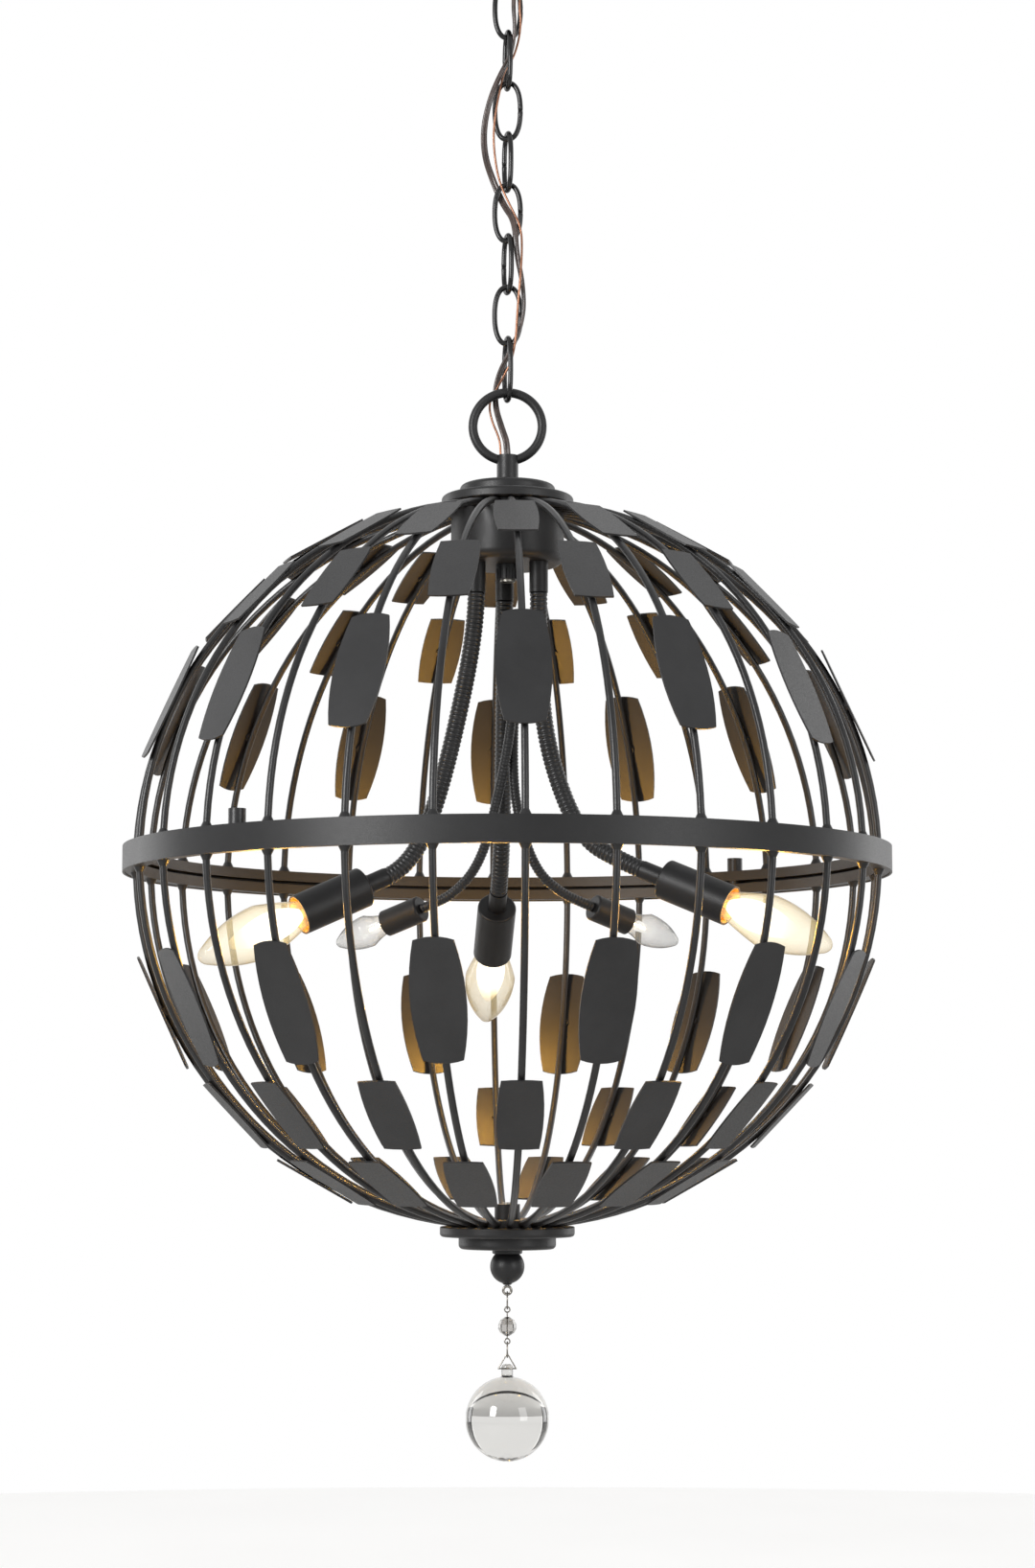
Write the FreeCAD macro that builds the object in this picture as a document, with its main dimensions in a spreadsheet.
"""Orb chandelier: a 508 mm openwork ball of bent rods and welded leaf plates on a chain.

The model is drawn about the middle of the ball, in millimetres, +Z up and -Y towards the
viewer, and every piece is then lowered by ball_drop, so the origin is the middle of the
mounting strap, flush with the ceiling.
"""
import FreeCAD, Part
import math
import os
import re

Vec = FreeCAD.Vector
UP = Vec(0, 0, 1)

doc = FreeCAD.newDocument("orb_chandelier")

# ---------------------------------------------------------------- driving dimensions
SIZES = {
    # where the ball hangs
    "ball_drop": 662,
    # equator: an outer band around two stacked flat rings
    "band_radius": 254,
    "band_height": 17,
    "ring_outer_radius": 252.5,
    "ring_inner_radius": 242,
    "ring_height": 7,
    "lower_ring_top": -0.8,
    # rods: each is one arc whose centre stands rod_centre off the axis
    "rod_count": 28,
    "rod_arc_radius": 238.9,
    "rod_centre": 6.6,
    "rod_diameter": 4.6,
    "rod_turn": 2.65,
    "weld_radius": 4.1,
    "weld_height": 3.6,
    "hole_gap": 0.15,
    # leaf plates
    "plate_thickness": 1.2,
    "plate_end_width": 25,
    "long_plate_length": 76.5,
    "long_plate_width": 34.4,
    "long_plate_crown": 2.2,
    "short_plate_length": 55.5,
    "short_plate_width": 28.8,
    "short_plate_crown": 0.7,
    "spot_radius": 3.6,
    "low_row": 24.4,
    "middle_row": 43.8,
    "high_row": 60.3,
    # poles: an inner plate, a wide cap and a small cap
    "pole_plate_radius": 36.2,
    "pole_plate_inner": 234.8,
    "cap_inner": 239.5,
    "wide_cap_radius": 44.3,
    "wide_cap_height": 6.7,
    "small_cap_radius": 32,
    "small_cap_height": 8,
    "thread_radius": 5.05,
    "pipe_radius": 4.95,
    "pipe_bore": 3.6,
    # loop on top of the ball
    "loop_middle": 294.5,
    "loop_radius": 23.3,
    "loop_wire": 3.1,
    "neck_radius": 7.2,
    "neck_top": 274.6,
    "cord_hole": 2.9,
    # chain
    "link_wire": 3.5,
    "link_width": 21,
    "link_length": 42.85,
    "first_link_length": 46.1,
    "hang_gap": 0.35,
    # ceiling fitting
    "canopy_radius": 62,
    "canopy_height": 24,
    "canopy_wall": 1.2,
    "hook_radius": 14.5,
    "hook_wire": 2.5,
    "strap_length": 104,
    "strap_width": 22,
    "strap_thickness": 2.5,
    "strap_hole_spacing": 88.9,
    "strap_hole_radius": 2.3,
    # hub inside the top of the ball
    "hub_radius": 37.9,
    "hub_bottom": 200,
    "hub_wall": 1.2,
    "hub_corner": 6,
    "hub_nut_radius": 7.75,
    "hub_nut_height": 10,
    "arm_circle": 24,
    # arms
    "ferrule_radius": 6.2,
    "ferrule_length": 20.5,
    "hose_radius": 6,
    "hose_bore": 3.6,
    "hose_pitch": 2.9,
    "small_ferrule_radius": 4.1,
    "small_ferrule_length": 15,
    "small_hose_radius": 3.5,
    "small_hose_bore": 1.9,
    "small_hose_pitch": 2.6,
    "cup_radius": 13.25,
    "cup_length": 49,
    "cup_ferrule_length": 16.5,
    "small_cup_radius": 9,
    "small_cup_length": 29.5,
    "cup_wall": 1,
    "bulb_length": 74,
    "bulb_radius": 17.5,
    "small_bulb_length": 42,
    "small_bulb_radius": 11,
    "glass_wall": 0.9,
    # clamp studs and thumb nuts that close the two halves
    "stud_circle": 247.9,
    "stud_radius": 2.5,
    "thumb_nut_radius": 5.4,
    "thumb_nut_height": 9.5,
    # finial and pendant
    "finial_radius": 11.3,
    "finial_middle": 265.5,
    "finial_tip": 277.5,
    "eye_radius": 2.6,
    "eye_wire": 0.9,
    "ring_wire": 0.5,
    "upper_ring_radius": 5.6,
    "lower_ring_radius": 5,
    "pin_wire": 0.45,
    "pin_loop": 1.7,
    "bead_radius": 6.3,
    "stem_radius": 3.8,
    "crystal_radius": 27.3,
    "crystal_middle": 363.9,
    # supply cord
    "cord_radius": 2.3,
    "ground_radius": 0.9,
    "ground_offset": 4.6,
}

sheet = doc.addObject("Spreadsheet::Sheet", "Sheet")
for row, (word, number) in enumerate(SIZES.items(), start=1):
    sheet.set(f"A{row}", word)
    sheet.set(f"B{row}", str(number))
    sheet.setAlias(f"B{row}", word)
doc.recompute()


def size(word):
    """The number that the sheet holds under this alias."""
    return float(getattr(sheet, word))


WORD = re.compile(r"[a-z][a-z_]*")


def bind(thing, field, formula):
    """Ties one field of a document object to a formula of sheet aliases."""
    tied = WORD.sub(lambda w: "Sheet." + w.group(0) if w.group(0) in SIZES else w.group(0), str(formula))
    thing.setExpression(field, tied)


def make(kind, name, turn=None, **fields):
    """A Part primitive. x, y and z place it; every other field is one of its sizes."""
    thing = doc.addObject(kind, name)
    if turn is not None:
        thing.Placement = FreeCAD.Placement(Vec(0, 0, 0), turn)
    for field, formula in fields.items():
        bind(thing, "Placement.Base." + field if field in ("x", "y", "z") else field, formula)
    return thing


def cylinder(name, radius, height, z, x="0", y="0", turn=None):
    return make("Part::Cylinder", name, turn, Radius=radius, Height=height, x=x, y=y, z=z)


def cone(name, low, high, height, z, x="0", y="0"):
    return make("Part::Cone", name, None, Radius1=low, Radius2=high, Height=height, x=x, y=y, z=z)


def torus(name, radius, wire, z, turn=None, x="0"):
    return make("Part::Torus", name, turn, Radius1=radius, Radius2=wire, x=x, z=z)


def fuse(name, *pieces):
    joined = doc.addObject("Part::MultiFuse", name)
    joined.Shapes = list(pieces)
    return joined


def cut(name, whole, tool):
    rest = doc.addObject("Part::Cut", name)
    rest.Base = whole
    rest.Tool = tool
    return rest


def rounded(name, base, corners):
    """Rounds the full circles of base that lie at these (radius, height) places by a radius."""
    doc.recompute()
    edges = []
    for radius, height, blend in corners:
        for number, edge in enumerate(base.Shape.Edges, start=1):
            circle = edge.Curve if isinstance(edge.Curve, Part.Circle) else None
            if circle and abs(circle.Radius - radius) < 0.01 and abs(circle.Center.z - height) < 0.01:
                edges.append((number, blend, blend))
    fillet = doc.addObject("Part::Fillet", name)
    fillet.Base = base
    fillet.Edges = edges
    return fillet


def group(name, pieces):
    """One node that holds several separate solids."""
    bundle = doc.addObject("Part::Compound", name)
    bundle.Links = list(pieces)
    return bundle


def shaped(name, shape):
    """A piece whose form comes from a formula."""
    thing = doc.addObject("Part::Feature", name)
    thing.Shape = shape
    return thing


SIDEWAYS = FreeCAD.Rotation(Vec(1, 0, 0), 90)  # a torus stands in the X-Z plane
EDGEWAYS = FreeCAD.Rotation(Vec(0, 1, 0), 90)  # a torus stands in the Y-Z plane


def outward(turn):
    """The level direction at a turn from the front, positive to the viewer's right."""
    angle = math.radians(turn)
    return Vec(math.sin(angle), -math.cos(angle), 0)


NODES = []


def node(thing, name):
    """Makes a finished piece a node: its label names its file and it drops to its place."""
    thing.Label = name
    bind(thing, "Placement.Base.z", f"{thing.Placement.Base.z:.6g} - ball_drop")
    NODES.append(thing)
    return thing


def keep(thing, name):
    """As node(), for a piece whose own height is already bound: it goes in a compound of one."""
    return node(group(name + "_set", [thing]), name)


# ---------------------------------------------------------------- equator
def flat_ring(name, outer, inner, bottom, height):
    body = cylinder(name + "_disc", outer, height, bottom)
    hollow = cylinder(name + "_hollow", inner, f"{height} + 2", f"{bottom} - 1")
    return cut(name, body, hollow)


STUD_TURNS = {"left": -41.3, "right": 138.7}


def stud_place(side):
    reach = outward(STUD_TURNS[side])
    return {"x": f"stud_circle * {reach.x:.6f}", "y": f"stud_circle * {reach.y:.6f}"}


def drilled(name, ring, bottom, radius):
    """A ring with a hole for each clamp stud."""
    drills = [
        cylinder(f"{name}_drill_{side}", radius, "ring_height + 2", f"{bottom} - 1", **stud_place(side))
        for side in STUD_TURNS
    ]
    return cut(name, ring, fuse(name + "_drills", *drills))


upper_bottom = "band_height / 2 - ring_height"
lower_bottom = "lower_ring_top - ring_height"
band = flat_ring("band", "band_radius", "ring_outer_radius", "-band_height / 2", "band_height")
keep(band, "equator_band")
upper_flat = flat_ring("upper_flat", "ring_outer_radius", "ring_inner_radius", upper_bottom, "ring_height")
keep(drilled("upper_flat_drilled", upper_flat, upper_bottom, "stud_radius + hole_gap"), "upper_ring")
lower_flat = flat_ring("lower_flat", "ring_outer_radius", "ring_inner_radius", lower_bottom, "ring_height")
keep(drilled("lower_flat_drilled", lower_flat, lower_bottom, "stud_radius"), "lower_ring")

studs = []
for side in STUD_TURNS:
    place = stud_place(side)
    stud_length = "band_height / 2 + 7 - lower_ring_top + ring_height"
    studs.append(cylinder(f"stud_{side}", "stud_radius", stud_length, lower_bottom, **place))
    washer_height = f"{upper_bottom} - lower_ring_top"
    washer = cylinder(f"washer_{side}", "stud_radius * 1.8", washer_height, "lower_ring_top", **place)
    eye = cylinder(f"washer_eye_{side}", "stud_radius", "9", "lower_ring_top - 1", **place)
    studs.append(cut(f"spacer_{side}", washer, eye))
node(group("stud_group", studs), "clamp_studs")

for side in STUD_TURNS:
    place = stud_place(side)
    knob = cylinder(f"knob_{side}", "thumb_nut_radius", "thumb_nut_height", "band_height / 2", **place)
    bore = cylinder(f"knob_bore_{side}", "stud_radius + 0.05", "7.4", "band_height / 2 - 0.2", **place)
    keep(cut(f"thumb_{side}", knob, bore), f"thumb_nut_{side}")


# ---------------------------------------------------------------- rods
def rod(name, foot):
    """One rod with the weld at its foot, in the X-Z plane, from the ring to the pole plate."""
    arc = make("Part::Torus", name + "_arc", SIDEWAYS, Radius1="rod_arc_radius", Radius2="rod_diameter / 2",
               Angle3="84", x="rod_centre")
    weld = cone(name + "_weld", "weld_radius", "rod_diameter / 2", "weld_height", foot,
                x="rod_centre + rod_arc_radius - 0.15")
    trim_low = cylinder(name + "_below", "band_radius * 2", "20", f"{foot} - 20")
    trim_pole = cylinder(name + "_pole", "pole_plate_radius", "20", "pole_plate_inner - 5")
    return cut(name, fuse(name + "_welded", arc, weld), fuse(name + "_trim", trim_low, trim_pole))


def all_round(shape, first, step, count):
    """Copies of a shape that faces +X, turned so that each faces one of count directions."""
    copies = []
    for number in range(count):
        copy = shape.copy()
        copy.rotate(Vec(0, 0, 0), UP, first + step * number - 90)
        copies.append(copy)
    return Part.makeCompound(copies)


ROD_STEP = 360 / size("rod_count")
upper_rod = rod("upper_rod", "band_height / 2")
lower_rod = rod("lower_rod", "ring_height - lower_ring_top")
doc.recompute()
FLOOR = (Vec(0, 0, 0), UP)
rod_total = int(size("rod_count"))
node(shaped("upper_rods", all_round(upper_rod.Shape, size("rod_turn"), ROD_STEP, rod_total)), "upper_ribs")
node(
    shaped("lower_rods", all_round(lower_rod.Shape.mirror(*FLOOR), size("rod_turn"), ROD_STEP, rod_total)),
    "lower_ribs",
)


# ---------------------------------------------------------------- leaf plates
def leaf(length, width, crown):
    """A flat plate with bowed sides and ends, its inner face on x = 0, its length along Z, with
    the spot weld that holds its middle to the rod behind it."""
    end = size("plate_end_width") / 2
    tip = length / 2
    corners = [Vec(0, -end, tip), Vec(0, end, tip), Vec(0, end, -tip), Vec(0, -end, -tip)]
    bows = [Vec(0, 0, tip + crown), Vec(0, width / 2, 0), Vec(0, 0, -tip - crown), Vec(0, -width / 2, 0)]
    edges = [Part.Arc(corners[i], bows[i], corners[(i + 1) % 4]).toShape() for i in range(4)]
    plate = Part.Face(Part.Wire(edges)).extrude(Vec(size("plate_thickness"), 0, 0))
    spot = Part.makeCylinder(size("spot_radius"), 1.6, Vec(-1.6, 0, 0), Vec(1, 0, 0))
    tube = size("rod_diameter") / 2
    rod_there = Part.makeTorus(
        size("rod_arc_radius"), tube, Vec(-size("rod_arc_radius") - tube, 0, 0), Vec(0, 1, 0)
    )
    return plate.fuse(spot.cut(rod_there)).removeSplitter()


def leaf_row(blank, height_angle, offset):
    """Every second rod carries a leaf at this angle above the equator, square to the rod."""
    stand_off = size("rod_arc_radius") + size("rod_diameter") / 2
    placed = blank.copy()
    placed.translate(Vec(stand_off, 0, 0))
    placed.rotate(Vec(0, 0, 0), Vec(0, -1, 0), height_angle)
    placed.translate(Vec(size("rod_centre"), 0, 0))
    return all_round(placed, size("rod_turn") + offset * ROD_STEP, 2 * ROD_STEP, rod_total // 2)


long_leaf = leaf(size("long_plate_length"), size("long_plate_width"), size("long_plate_crown"))
short_leaf = leaf(size("short_plate_length"), size("short_plate_width"), size("short_plate_crown"))
LEAF_ROWS = {
    "tiles_upper_high": (short_leaf, size("high_row"), 0),
    "tiles_upper_middle": (short_leaf, size("middle_row"), 1),
    "tiles_upper_low": (long_leaf, size("low_row"), 0),
    "tiles_lower_low": (long_leaf, -size("low_row"), 1),
    "tiles_lower_middle": (short_leaf, -size("middle_row"), 0),
    "tiles_lower_high": (short_leaf, -size("high_row"), 1),
}
for label, (blank, angle, offset) in LEAF_ROWS.items():
    node(shaped(label + "_row", leaf_row(blank, angle, offset)), label)


# ---------------------------------------------------------------- poles
def cap(name, radius, height, bottom, blend_low, blend_high, bore):
    """A turned disc with rounded rims and a hole for the threaded pipe or stud."""
    low = value_of(bottom)
    disc = cylinder(name + "_disc", radius, height, bottom)
    rims = [(value_of(radius), low, blend_low), (value_of(radius), low + value_of(height), blend_high)]
    hole = cylinder(name + "_hole", bore, f"{height} + 2", f"{bottom} - 1")
    return cut(name, rounded(name + "_rims", disc, rims), hole)


def value_of(formula):
    """The value of a short sum of sheet aliases and numbers, for finding an edge."""
    total = 0.0
    for sign, term in re.findall(r"([+-]?)\s*([a-z_0-9.]+)", formula):
        value = size(term) if term in SIZES else float(term)
        total += -value if sign == "-" else value
    return total


plate_height = "cap_inner - pole_plate_inner"
keep(cap("top_plate", "pole_plate_radius", plate_height, "pole_plate_inner", 0.5, 0.5, "thread_radius"),
     "pole_plate_upper")
keep(cap("top_wide", "wide_cap_radius", "wide_cap_height", "cap_inner", 1.0, 2.4, "thread_radius"),
     "cap_top_wide")
keep(cap("top_small", "small_cap_radius", "small_cap_height", "cap_inner + wide_cap_height", 0.6, 3.0,
         "thread_radius"), "cap_top_small")
keep(cap("low_plate", "pole_plate_radius", plate_height, "-cap_inner", 0.5, 0.5, "3.05"), "pole_plate_lower")
keep(cap("low_wide", "wide_cap_radius", "wide_cap_height", "-cap_inner - wide_cap_height", 2.4, 1.0, "3.05"),
     "cap_bottom_wide")
keep(cap("low_small", "small_cap_radius", "small_cap_height",
         "-cap_inner - wide_cap_height - small_cap_height", 3.0, 0.6, "3.05"), "cap_bottom_small")


# ---------------------------------------------------------------- loop on the ball
neck_foot = "cap_inner + wide_cap_height + small_cap_height"
loop_ring = torus("loop_ring", "loop_radius", "loop_wire", "loop_middle", SIDEWAYS)
loop_foot = cone("loop_foot", "neck_radius + 2.2", "neck_radius + 1.2", "2.4", neck_foot)
loop_bead = torus("loop_bead", "neck_radius - 0.4", "1.3", f"{neck_foot} + 3.4")
loop_neck = cylinder("loop_neck", "neck_radius", f"neck_top - ({neck_foot})", neck_foot)
loop_whole = fuse("loop_whole", loop_ring, loop_foot, loop_bead, loop_neck)
loop_bores = fuse(
    "loop_bores",
    cylinder("loop_thread", "thread_radius", "7.8", neck_foot),
    cylinder("loop_wires", "2", "30", neck_foot),
    cylinder("loop_mouth", "cord_hole", "20", "neck_top - 6.6"),
    cylinder("loop_ground", "ground_radius + hole_gap", "20", "neck_top - 5", x="-ground_offset"),
)
keep(cut("loop_bored", loop_whole, loop_bores), "top_loop")


# ---------------------------------------------------------------- chain
def link(name, length, bottom, across):
    """One oval link: two straight sides and two half rings, in the X-Z or the Y-Z plane."""
    wire = size("link_wire") / 2
    half = size("link_width") / 2 - wire
    low = bottom + wire + half
    high = bottom + length - wire - half
    side = Vec(half, 0, 0) if across else Vec(0, half, 0)
    centre_low = Vec(0, 0, low)
    centre_high = Vec(0, 0, high)
    path = Part.Wire([
        Part.makeLine(centre_low + side, centre_high + side),
        Part.Arc(centre_high + side, centre_high + Vec(0, 0, half), centre_high - side).toShape(),
        Part.makeLine(centre_high - side, centre_low - side),
        Part.Arc(centre_low - side, centre_low - Vec(0, 0, half), centre_low + side).toShape(),
    ])
    section = Part.Wire([Part.makeCircle(wire, centre_low + side, UP)])
    return shaped(name, path.makePipeShell([section], True, False))


link_bottom = (
    size("loop_middle") + size("loop_radius") - size("loop_wire") - size("hang_gap") - size("link_wire")
)
links = []
link_length = size("first_link_length")
for number in range(8):
    links.append(link(f"link_{number + 1}", link_length, link_bottom, across=number % 2 == 1))
    link_top = link_bottom + link_length
    link_bottom = link_top - 2 * size("link_wire") - size("hang_gap")
    link_length = size("link_length")
node(group("link_group", links), "chain_links")

# ---------------------------------------------------------------- ceiling fitting
hook_middle = link_top - size("link_wire") - size("hang_gap") - 2 * size("hook_wire")
hook_middle += size("hook_wire") + size("hook_radius")
hook_ring = torus("hook_ring", "hook_radius", "hook_wire", f"{hook_middle:.6g}", EDGEWAYS)
canopy_bottom = "ball_drop - canopy_height"
hook_body = cylinder("hook_body", "hook_radius / 2", "9.4", f"{canopy_bottom} - 13.4")
hook_bores = fuse(
    "hook_bores",
    cylinder("hook_mouth", "cord_hole", "5.4", f"{canopy_bottom} - 13.4"),
    cylinder("hook_ground", "ground_radius + hole_gap", "3.4", f"{canopy_bottom} - 13.4", x="ground_offset"),
    cylinder("hook_wires", "2", "12", f"{canopy_bottom} - 13.4"),
    cylinder("hook_thread", "thread_radius", "8", f"{canopy_bottom} - 6"),
)
keep(cut("hook_bored", fuse("hook_whole", hook_ring, hook_body), hook_bores), "canopy_loop")
collar = cylinder("collar", "hook_radius * 0.65", "4", f"{canopy_bottom} - 4")
collar_bore = cylinder("collar_bore", "thread_radius", "6", f"{canopy_bottom} - 5")
keep(cut("collar_ring", collar, collar_bore), "canopy_collar")

dish = rounded(
    "dish_round",
    cylinder("dish", "canopy_radius", "canopy_height", canopy_bottom),
    [(size("canopy_radius"), size("ball_drop") - size("canopy_height"), 11)],
)
dish_inside = rounded(
    "dish_inside_round",
    cylinder("dish_inside", "canopy_radius - canopy_wall", "canopy_height", f"{canopy_bottom} + canopy_wall"),
    [(size("canopy_radius") - size("canopy_wall"),
      size("ball_drop") - size("canopy_height") + size("canopy_wall"), 10)],
)
dish_hole = cylinder("dish_hole", "thread_radius", "4", f"{canopy_bottom} - 1")
keep(cut("canopy_dish", dish, fuse("dish_cuts", dish_inside, dish_hole)), "ceiling_canopy")

strap_bottom = "ball_drop - strap_thickness"
strap = make("Part::Box", "strap", None, Length="strap_length", Width="strap_width", Height="strap_thickness",
             x="-strap_length / 2", y="-strap_width / 2", z=strap_bottom)
strap_holes = [cylinder("strap_thread", "thread_radius", "6", f"{strap_bottom} - 1")]
for sign in (-1, 1):
    strap_holes.append(cylinder(f"strap_hole_{sign + 1}", "strap_hole_radius", "6", f"{strap_bottom} - 1",
                                x=f"{sign} * strap_hole_spacing / 2"))
keep(cut("strap_drilled", strap, fuse("strap_holes", *strap_holes)), "mounting_strap")


def pipe(name, bottom, top):
    """A length of threaded pipe, open right through for the wires."""
    height = f"{top} - ({bottom})"
    outside = cylinder(name + "_outside", "pipe_radius", height, bottom)
    inside = cylinder(name + "_inside", "pipe_bore", f"{height} + 2", f"{bottom} - 1")
    return cut(name, outside, inside)


keep(pipe("canopy_pipe", f"{canopy_bottom} - 5.9", "ball_drop"), "canopy_nipple")
keep(pipe("hub_pipe", "hub_bottom - hub_nut_height - 1.5", f"{neck_foot} + 7.7"), "hub_nipple")

lock_nuts = []
for number, height in enumerate((f"{strap_bottom} - 3.2", f"{canopy_bottom} + canopy_wall")):
    prism = make("Part::Prism", f"lock_nut_{number}", None, Polygon="6", Circumradius="8.6", Height="3.2",
                 z=height)
    lock_bore = cylinder(f"lock_bore_{number}", "thread_radius", "6", f"{height} - 1")
    lock_nuts.append(cut(f"lock_nut_cut_{number}", prism, lock_bore))
node(group("lock_nut_group", lock_nuts), "canopy_lock_nuts")

# ---------------------------------------------------------------- hub
hub_depth = "pole_plate_inner - hub_bottom"
hub_outside = rounded("hub_outside", cylinder("hub_solid", "hub_radius", hub_depth, "hub_bottom"),
                      [(size("hub_radius"), size("hub_bottom"), size("hub_corner"))])
hub_inside = rounded(
    "hub_inside",
    cylinder("hub_void", "hub_radius - hub_wall", hub_depth, "hub_bottom + hub_wall"),
    [(size("hub_radius") - size("hub_wall"), size("hub_bottom") + size("hub_wall"), size("hub_corner") - 1)],
)
ARM_TURNS = {"left": -60, "right": 60, "rear": 185}
EXITS = {side: outward(turn) * size("arm_circle") for side, turn in ARM_TURNS.items()}
EXITS["small_left"] = Vec(19.5, 6, 0)
EXITS["small_right"] = Vec(19.5, 16, 0)
BIG = ("left", "right", "rear")
SMALL = ("small_left", "small_right")
SIDES = BIG + SMALL


def at(point):
    return {"x": f"{point.x:.6f}", "y": f"{point.y:.6f}"}


hub_holes = [cylinder("hub_centre_hole", "thread_radius", "6", "hub_bottom - 1")]
ferrules = []
for side in SIDES:
    bore = "hose_bore" if side in BIG else "small_hose_bore"
    radius = "ferrule_radius" if side in BIG else "small_ferrule_radius"
    length = "ferrule_length" if side in BIG else "small_ferrule_length"
    hub_holes.append(cylinder(f"hub_hole_{side}", bore, "6", "hub_bottom - 1", **at(EXITS[side])))
    sleeve = cylinder(f"sleeve_{side}", radius, length, f"hub_bottom - {length}", **at(EXITS[side]))
    way = cylinder(f"way_{side}", bore, f"{length} + 2", f"hub_bottom - {length} - 1", **at(EXITS[side]))
    ferrules.append(cut(f"ferrule_{side}", sleeve, way))
keep(cut("hub_bored", hub_outside, fuse("hub_cuts", hub_inside, *hub_holes)), "hub_cup")
node(group("ferrule_group", ferrules), "hub_ferrules")

nut_round = cylinder("nut_round", "hub_nut_radius", "hub_nut_height", "hub_bottom - hub_nut_height")
FLUTES = 12
flutes = [cylinder("nut_bore", "thread_radius", "hub_nut_height + 2", "hub_bottom - hub_nut_height - 1")]
for number in range(FLUTES):
    reach = outward(number * 360 / FLUTES)
    flutes.append(cylinder(f"flute_{number}", "1", "hub_nut_height - 1.6", "hub_bottom - hub_nut_height - 1",
                           x=f"hub_nut_radius * {reach.x:.6f}", y=f"hub_nut_radius * {reach.y:.6f}"))
keep(cut("nut_fluted", nut_round, fuse("flute_cuts", *flutes)), "hub_nut")


# ---------------------------------------------------------------- arms
def along(turn, droop):
    """The direction that a lamp points in."""
    angle = math.radians(droop)
    return outward(turn) * math.cos(angle) - UP * math.sin(angle)


def in_plane(side, turn, places):
    """Points given as (distance out, height) in the upright plane of an arm."""
    return [EXITS[side] + outward(turn) * reach + UP * height for reach, height in places]


# where each lamp points, where the back of its cup stands, and the route of its gooseneck
ARMS = {
    "left": {"turn": -66, "droop": 23.7, "cup": (79, -19.2),
             "bends": [(0, 155), (18, 72), (35, 18)]},
    "right": {"turn": 66, "droop": 22.5, "cup": (89, -14.5),
              "bends": [(0, 120), (8, 66), (30, 14)]},
    "rear": {"turn": 185, "droop": 37, "cup": (61, -24),
             "bends": [(0, 140), (8, 75), (21, 20)]},
    "small_left": {"turn": -120, "droop": 18, "cup": Vec(-58, 38.3, -28),
                   "bends": [Vec(19.5, 6, 160), Vec(5, 3.5, 120), Vec(1, 4, 80), Vec(-8, 7, 38),
                             Vec(-14.5, 11.5, 12), Vec(-24, 18.5, -7), Vec(-38, 27, -20)]},
    "small_right": {"turn": 120, "droop": 18, "cup": Vec(57.5, 38, -27),
                    "bends": [Vec(19.5, 16, 160), Vec(5, 12.5, 120), Vec(3.2, 10, 60), Vec(8, 9.5, 27),
                              Vec(19, 16, -4), Vec(36, 26, -18.5)]},
}


def arm_points(side):
    """Where a gooseneck starts and ends, its bends, and where its lamp cup begins."""
    arm = ARMS[side]
    heading = along(arm["turn"], arm["droop"])
    ferrule = size("ferrule_length" if side in BIG else "small_ferrule_length")
    start = EXITS[side] + UP * (size("hub_bottom") - ferrule)
    if side in BIG:
        cup = in_plane(side, arm["turn"], [arm["cup"]])[0]
        bends = in_plane(side, arm["turn"], arm["bends"])
        end = cup - heading * size("cup_ferrule_length")
    else:
        cup = arm["cup"]
        bends = arm["bends"]
        end = cup
    lead = 2.2 * size("hose_radius" if side in BIG else "small_hose_radius")
    return cup, heading, [start] + bends + [end - heading * lead, end]


def smooth(points, parts=24):
    """A clamped quadratic spline over the points, as a list of close places along it."""
    places = [points[0]]
    for number in range(1, len(points) - 1):
        before = points[0] if number == 1 else (points[number - 1] + points[number]) * 0.5
        last = number == len(points) - 2
        after = points[-1] if last else (points[number] + points[number + 1]) * 0.5
        for step in range(1, parts + 1):
            t = step / parts
            places.append(before * (1 - t) ** 2 + points[number] * (2 * t * (1 - t)) + after * t ** 2)
    return places


def spaced(places, count):
    """The same line at equal distances, with the direction at each place."""
    lengths = [0.0]
    for a, b in zip(places, places[1:]):
        lengths.append(lengths[-1] + (b - a).Length)
    result = []
    segment = 0
    for number in range(count + 1):
        wanted = lengths[-1] * number / count
        while segment < len(places) - 2 and lengths[segment + 1] < wanted:
            segment += 1
        share = (wanted - lengths[segment]) / (lengths[segment + 1] - lengths[segment])
        a, b = places[segment], places[segment + 1]
        result.append((a + (b - a) * share, (b - a).normalize()))
    return result, lengths[-1]


def gooseneck(side):
    """A ribbed flexible hose with its bore: a ruled skin through four circles per rib."""
    big = side in BIG
    radius = size("hose_radius" if big else "small_hose_radius")
    bore = size("hose_bore" if big else "small_hose_bore")
    pitch = size("hose_pitch" if big else "small_hose_pitch")
    points = arm_points(side)[2]
    places = smooth(points)
    length = sum((b - a).Length for a, b in zip(places, places[1:]))
    ribs = round(length / pitch)
    line, length = spaced(places, 4 * ribs)
    line[0] = (points[0], (points[1] - points[0]).normalize())
    line[-1] = (points[-1], (points[-1] - points[-2]).normalize())
    depth = 0.09 * radius
    steady = Vec(0, 1, 0) if abs(line[-1][1].y) < 0.5 else Vec(1, 0, 0)
    outer = []
    inner = []
    for number, (place, way) in enumerate(line):
        valley = number % 4 in (0, 3) and 0 < number < 4 * ribs
        axis = steady - way * steady.dot(way)
        axis.normalize()
        for bucket, wide in ((outer, radius - depth if valley else radius), (inner, bore)):
            circle = Part.Circle(place, way, wide)
            circle.XAxis = axis
            bucket.append(Part.Wire([circle.toShape()]))
    skin = Part.makeLoft(outer, True, True)
    hole = Part.makeLoft(inner, True, True)
    hose = skin.cut(hole)
    print(f"gooseneck {side}: {length:.1f} mm, {ribs} ribs, volume {hose.Volume:.0f} mm3")
    return hose


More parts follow.
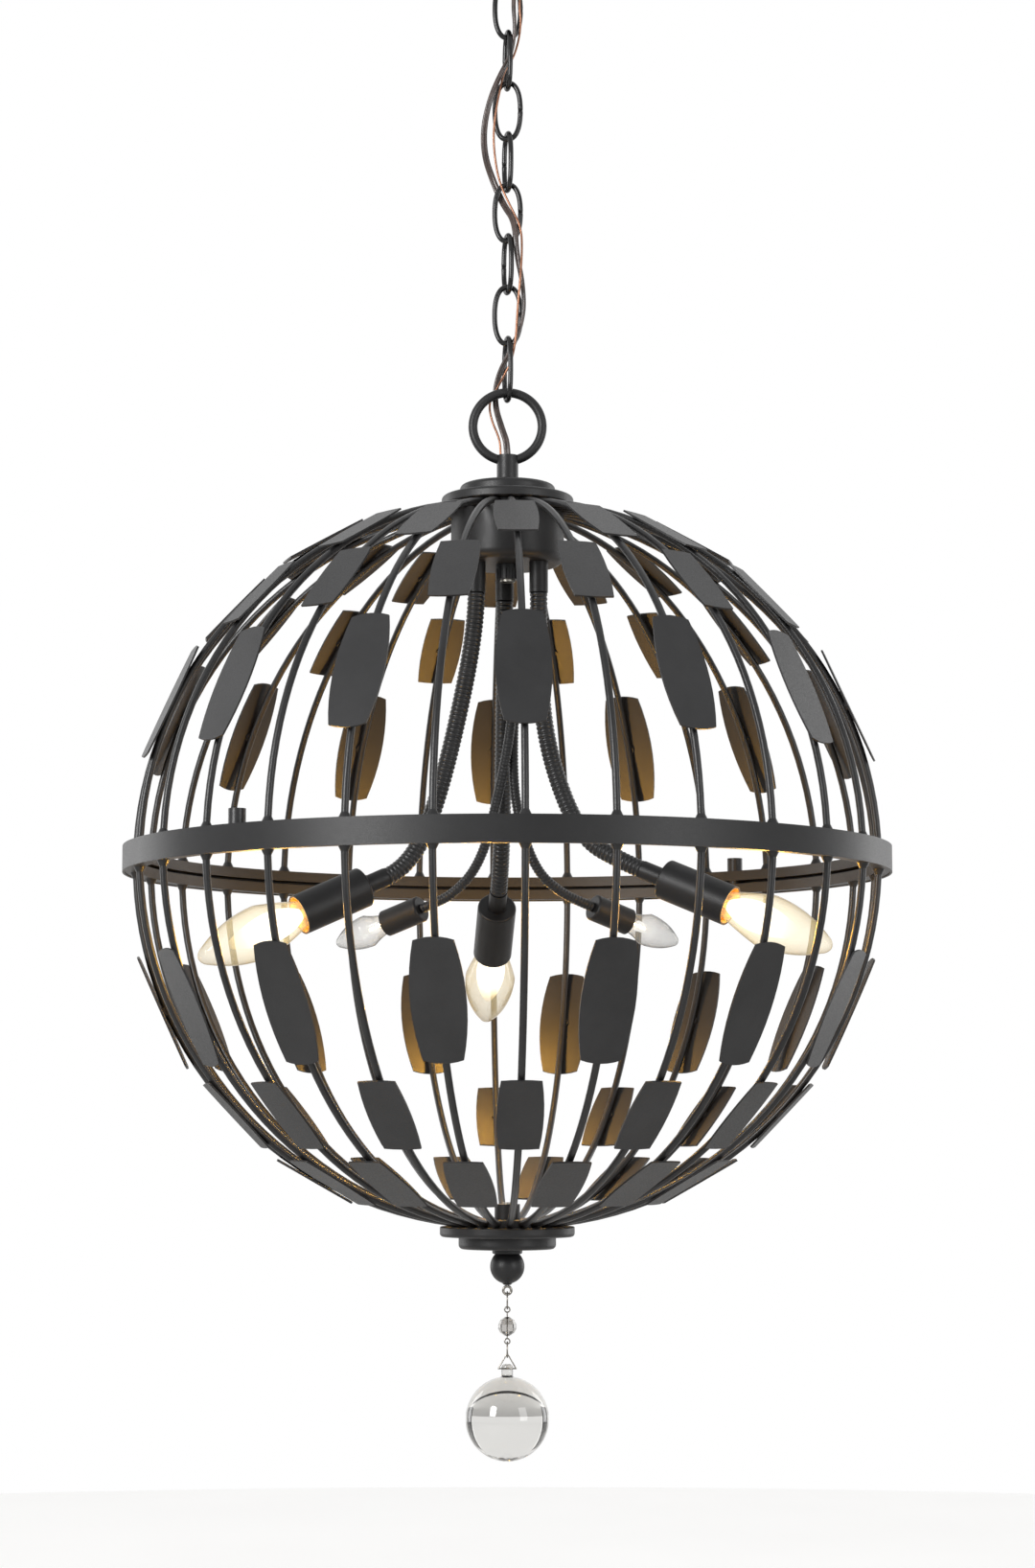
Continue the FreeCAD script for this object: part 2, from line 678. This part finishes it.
for side in SIDES:
    node(shaped(f"hose_{side}", gooseneck(side)), f"gooseneck_{side}")


def turned(profile):
    """A solid of revolution about +Z. The profile is a list of (height, radius) corners; an entry
    of two pairs makes the stretch to its second pair an arc through its first."""
    def spot(pair):
        return Vec(pair[1], 0, pair[0])

    edges = []
    here = profile[0]
    for entry in profile[1:]:
        if len(entry) == 2:
            edges.append(Part.makeLine(spot(here), spot(entry)))
            here = entry
        else:
            edges.append(Part.Arc(spot(here), spot(entry[:2]), spot(entry[2:])).toShape())
            here = entry[2:]
    edges.append(Part.makeLine(spot(here), spot(profile[0])))
    return Part.Face(Part.Wire(edges)).revolve(Vec(0, 0, 0), UP, 360)


def aimed(solids, side):
    """Solids turned about +Z, put on the arm: their origin at the back of the cup."""
    cup, heading, _ = arm_points(side)
    bundle = Part.makeCompound(solids)
    bundle.Placement = FreeCAD.Placement(cup, FreeCAD.Rotation(UP, heading))
    return bundle


def lamp_holder(side):
    """The cup, with its ferrule on the large ones, and the socket core that stands inside it."""
    big = side in BIG
    radius = size("cup_radius" if big else "small_cup_radius")
    length = size("cup_length" if big else "small_cup_length")
    bore = size("hose_bore" if big else "small_hose_bore")
    wall = size("cup_wall")
    base = 5.98
    shell = turned(
        [(0, bore), (0, radius - 1.5), (0.44, radius - 0.44, 1.5, radius), (length, radius),
         (length, radius - wall), (2.4, radius - wall), (2.4, bore)])
    core_radius = radius - wall - (2.2 if big else 0.6)
    core_end = length - (14 if big else 9)
    core = turned(
        [(2.4, bore), (2.4, core_radius), (core_end, core_radius), (core_end, base + 0.1),
         (6, base + 0.1), (6, bore)])
    pieces = [shell, core]
    if big:
        sleeve = size("cup_ferrule_length")
        ferrule = size("ferrule_radius")
        pieces.append(turned([(-sleeve, bore), (-sleeve, ferrule), (0, ferrule), (0, bore)]))
    return aimed(pieces, side)


def bulb(side):
    """A candle bulb: the blown glass, open at its foot, and the screw base that closes it."""
    big = side in BIG
    mouth = size("cup_length" if big else "small_cup_length")
    wide = size("bulb_radius" if big else "small_bulb_radius")
    reach = size("bulb_length" if big else "small_bulb_length")
    foot = -9 if big else -6
    base = 6.0
    wall = size("glass_wall")

    def flame(inset):
        """Foot, then the middle and end of each of three arcs up to the tip."""
        tail = 0.93 * reach
        tail_radius = 0.25 * wide
        return [
            (mouth + foot, base - inset),
            (mouth + 0.05 * reach, wide * 0.62 - inset), (mouth + 0.36 * reach, wide - inset),
            (mouth + 0.68 * reach, wide * 0.765 - inset), (mouth + tail, tail_radius - inset * 0.6),
            (mouth + 0.98 * reach - inset * 0.7, tail_radius * 0.55 - inset * 0.33),
            (mouth + reach - inset, 0.5),
        ]

    outer = flame(0)
    inner = flame(wall)
    glass = turned(
        [outer[0], outer[1] + outer[2], outer[3] + outer[4], outer[5] + outer[6], (outer[6][0], 0),
         (inner[6][0], 0), inner[6], inner[5] + inner[4], inner[3] + inner[2], inner[1] + inner[0]])
    screw = turned([(6.6, 0), (6.6, 2.2), (8.5, base), (mouth + foot, base), (mouth + foot, 0)])
    return aimed([glass, screw], side)


for side in SIDES:
    node(shaped(f"holder_{side}", lamp_holder(side)), f"lamp_holder_{side}")
    node(shaped(f"lamp_{side}", bulb(side)), f"bulb_{side}")

# ---------------------------------------------------------------- finial and pendant
low_face = "-cap_inner - wide_cap_height - small_cap_height"
boss = cylinder("boss", "8.35", "9.8", "-pole_plate_inner")
boss_bore = cylinder("boss_bore", "3.05", "12", "-pole_plate_inner - 1")
keep(cut("boss_bored", boss, boss_bore), "bottom_nut")
keep(cylinder("stud_rod", "3", "38", "-pole_plate_inner - 27"), "finial_stud")

ball = make("Part::Sphere", "ball", None, Radius="finial_radius", z="-finial_middle")
ball_neck = rounded("ball_neck", cylinder("ball_collar", "finial_radius - 1.4", "3.2", f"{low_face} - 3.2"),
                    [(size("finial_radius") - 1.4, value_of(low_face) - 3.2, 1.2)])
ball_throat = cylinder("ball_throat", "7.2", "4", f"{low_face} - 6")
ball_tail = cone("ball_tail", "2.2", "7.6", "5.2", "-finial_tip")
ball_bores = fuse(
    "ball_bores",
    cylinder("ball_thread", "3.05", "8.6", f"{low_face} - 7.6"),
    cylinder("ball_pin_hole", "eye_wire", "8", "-finial_tip - 1"),
    cylinder("ball_top_trim", "30", "30", low_face),
)
ball_whole = fuse("ball_whole", ball, ball_neck, ball_throat, ball_tail)
keep(cut("ball_bored", ball_whole, ball_bores), "finial_ball")

eye_middle = "-finial_tip - eye_radius - eye_wire"
eye_ring = torus("eye_ring", "eye_radius", "eye_wire", eye_middle, SIDEWAYS)
eye_stem = cylinder("eye_stem", "eye_wire", "7.4", "-finial_tip - 0.9")
keep(fuse("eye_whole", eye_ring, eye_stem), "finial_eye")

rest = "hang_gap"
ring_top = f"{eye_middle} - eye_radius + eye_wire + ring_wire + {rest}"
upper_ring_middle = f"{ring_top} - upper_ring_radius"
keep(torus("hang_ring_upper", "upper_ring_radius", "ring_wire", upper_ring_middle, EDGEWAYS),
     "pendant_ring_upper")

pin_loop_middle = f"{upper_ring_middle} - upper_ring_radius + ring_wire + pin_wire + {rest} - pin_loop"
bead_middle = f"{pin_loop_middle} - pin_loop - pin_wire - 2.4 - bead_radius"
low_loop_middle = f"{bead_middle} - bead_radius - 2.1 - pin_loop + pin_wire"
pin_top = torus("pin_top", "pin_loop", "pin_wire", pin_loop_middle, SIDEWAYS)
pin_low = torus("pin_low", "pin_loop", "pin_wire", low_loop_middle, SIDEWAYS)
pin_length = f"({pin_loop_middle}) - ({low_loop_middle}) - 2 * pin_loop"
pin_shank = cylinder("pin_shank", "pin_wire", pin_length, f"{low_loop_middle} + pin_loop")
keep(fuse("pin_whole", pin_top, pin_shank, pin_low), "bead_pin")
bead = make("Part::Sphere", "bead", None, Radius="bead_radius", z=bead_middle)
bead_bore = cylinder("bead_bore", "pin_wire", "2 * bead_radius + 2", f"{bead_middle} - bead_radius - 1")
keep(cut("bead_drilled", bead, bead_bore), "crystal_bead")

lower_ring_middle = f"{low_loop_middle} - pin_loop + pin_wire + ring_wire + {rest} - lower_ring_radius"
keep(torus("hang_ring_lower", "lower_ring_radius", "ring_wire", lower_ring_middle, EDGEWAYS),
     "pendant_ring_lower")
doc.recompute()

lowest = doc.getObject("hang_ring_lower").Placement.Base.z - size("lower_ring_radius")
apex = lowest + 2.6
bar = -331.6
BAIL_HALF = 5.8


def bail():
    """A triangle of wire: the apex hangs in the ring, the level side runs through the stem."""
    wire = size("pin_wire")
    corners = [Vec(0, 0, apex), Vec(-BAIL_HALF, 0, bar), Vec(BAIL_HALF, 0, bar)]
    solids = [Part.makeSphere(wire, corner) for corner in corners]
    for a, b in zip(corners, corners[1:] + corners[:1]):
        solids.append(Part.makeCylinder(wire, (b - a).Length, a, b - a))
    return solids[0].multiFuse(solids[1:])


node(shaped("bail_wire", bail()), "drop_bail")
crystal = make("Part::Sphere", "crystal", None, Radius="crystal_radius", z="-crystal_middle")
stem = rounded("stem_round", cylinder("stem", "stem_radius", "12", "-crystal_middle + crystal_radius - 4"),
               [(size("stem_radius"), -size("crystal_middle") + size("crystal_radius") + 8, 2.4)])
crossways = FreeCAD.Rotation(Vec(0, 1, 0), 90)
stem_bore = cylinder("stem_bore", "pin_wire + 0.4", "20", f"{bar}", x="-10", turn=crossways)
keep(cut("crystal_drilled", fuse("crystal_whole", crystal, stem), stem_bore), "crystal_ball")

# ---------------------------------------------------------------- supply cord
# the routes of the cord and of the bare ground wire beside it, from the foot of the ceiling
# hook to the neck of the loop; they weave through the open links and never touch them
CORD_ROUTE = [
    (0, 0, 630), (0, 0, 616.5), (6.0, -6.2, 602), (3.6, -7.2, 587), (5.2, -6.8, 568), (2.6, -2.8, 552),
    (-4.6, -5.2, 538), (-11.6, -6.0, 521), (-16.4, -3.0, 501), (-15.8, 1.5, 482), (-9.6, 6.0, 465),
    (-3.0, 4.4, 449), (5.0, -5.0, 435), (5.8, -6.8, 413), (10.6, -6.8, 390), (11.4, -6.2, 369),
    (4.6, -5.2, 350), (-6.8, 4.8, 331), (-9.0, 7.8, 312), (-3.6, 2.2, 293), (0, 0, 282.5), (0, 0, 268),
]
GROUND_ROUTE = [
    (4.6, 0, 628), (4.6, 0, 617), (10.4, -5.6, 604), (7.6, -6.4, 588), (9.4, -5.2, 570), (4.8, 1.2, 552),
    (-2.8, -0.6, 540), (-4.4, -4.2, 530), (-7.8, -4.8, 514), (-9.8, -4.4, 496), (-8.6, -4.4, 478),
    (-5.4, -5.6, 461), (1.6, -8.0, 445), (9.4, -7.2, 430), (9.8, -10.0, 411), (8.4, -12.0, 392),
    (6.6, -9.8, 372), (5.6, -10.0, 352), (2.6, -4.6, 338), (-3.0, -2.2, 328), (-7.2, 2.4, 321),
    (-12.8, 5.2, 312), (-11.0, 4.4, 300), (-5.6, 0.6, 287), (-4.6, 0, 279), (-4.6, 0, 269.6),
]


def cord_tube(route, radius):
    """Straight runs joined by tangent arcs, each as wide as its two runs allow."""
    points = [Vec(*place) for place in route]
    edges = []
    here = points[0]
    for before, corner, after in zip(points, points[1:], points[2:]):
        way_in = (corner - before).normalize()
        way_out = (after - corner).normalize()
        half_turn = way_in.getAngle(way_out) / 2
        cut_back = 0.45 * min((corner - before).Length, (after - corner).Length)
        enter = corner - way_in * cut_back
        leave = corner + way_out * cut_back
        bisector = (way_out - way_in).normalize()
        bend = cut_back / math.tan(half_turn)
        centre = corner + bisector * (bend / math.cos(half_turn))
        middle = centre - bisector * bend
        edges.append(Part.makeLine(here, enter))
        edges.append(Part.Arc(enter, middle, leave).toShape())
        degrees = math.degrees(2 * half_turn)
        print(f"bend at z {corner.z:.0f}: radius {bend:.1f} mm, turn {degrees:.0f} degrees")
        here = leave
    edges.append(Part.makeLine(here, points[-1]))
    path = Part.Wire(edges)
    section = Part.Wire([Part.makeCircle(radius, points[0], points[1] - points[0])])
    tube = path.makePipeShell([section], True, False)
    ideal = math.pi * radius ** 2 * path.Length
    print(f"length {path.Length:.1f} mm, volume {tube.Volume:.0f} of {ideal:.0f} mm3")
    return tube


node(shaped("cord_tube", cord_tube(CORD_ROUTE, size("cord_radius"))), "supply_cord")
node(shaped("ground_tube", cord_tube(GROUND_ROUTE, size("ground_radius"))), "ground_wire")

# ---------------------------------------------------------------- checks and files
doc.recompute()
for thing in doc.Objects:
    if "Invalid" in thing.State or "Error" in thing.State:
        raise RuntimeError(f"{thing.Name} failed: {thing.State}")
if len({thing.Label for thing in NODES}) != len(NODES) or len(NODES) > 60:
    raise RuntimeError("node names repeat, or there are too many")
os.makedirs("parts", exist_ok=True)
for thing in NODES:
    if thing.Shape.isNull() or not thing.Shape.isValid():
        raise RuntimeError(f"{thing.Label} has no valid shape")
    thing.Shape.exportStep(f"parts/{thing.Label}.step")
    box = thing.Shape.BoundBox
    print(f"{thing.Label}: {len(thing.Shape.Solids)} solids, {thing.Shape.Volume:.0f} mm3, "
          f"z {box.ZMin:.1f} to {box.ZMax:.1f}")
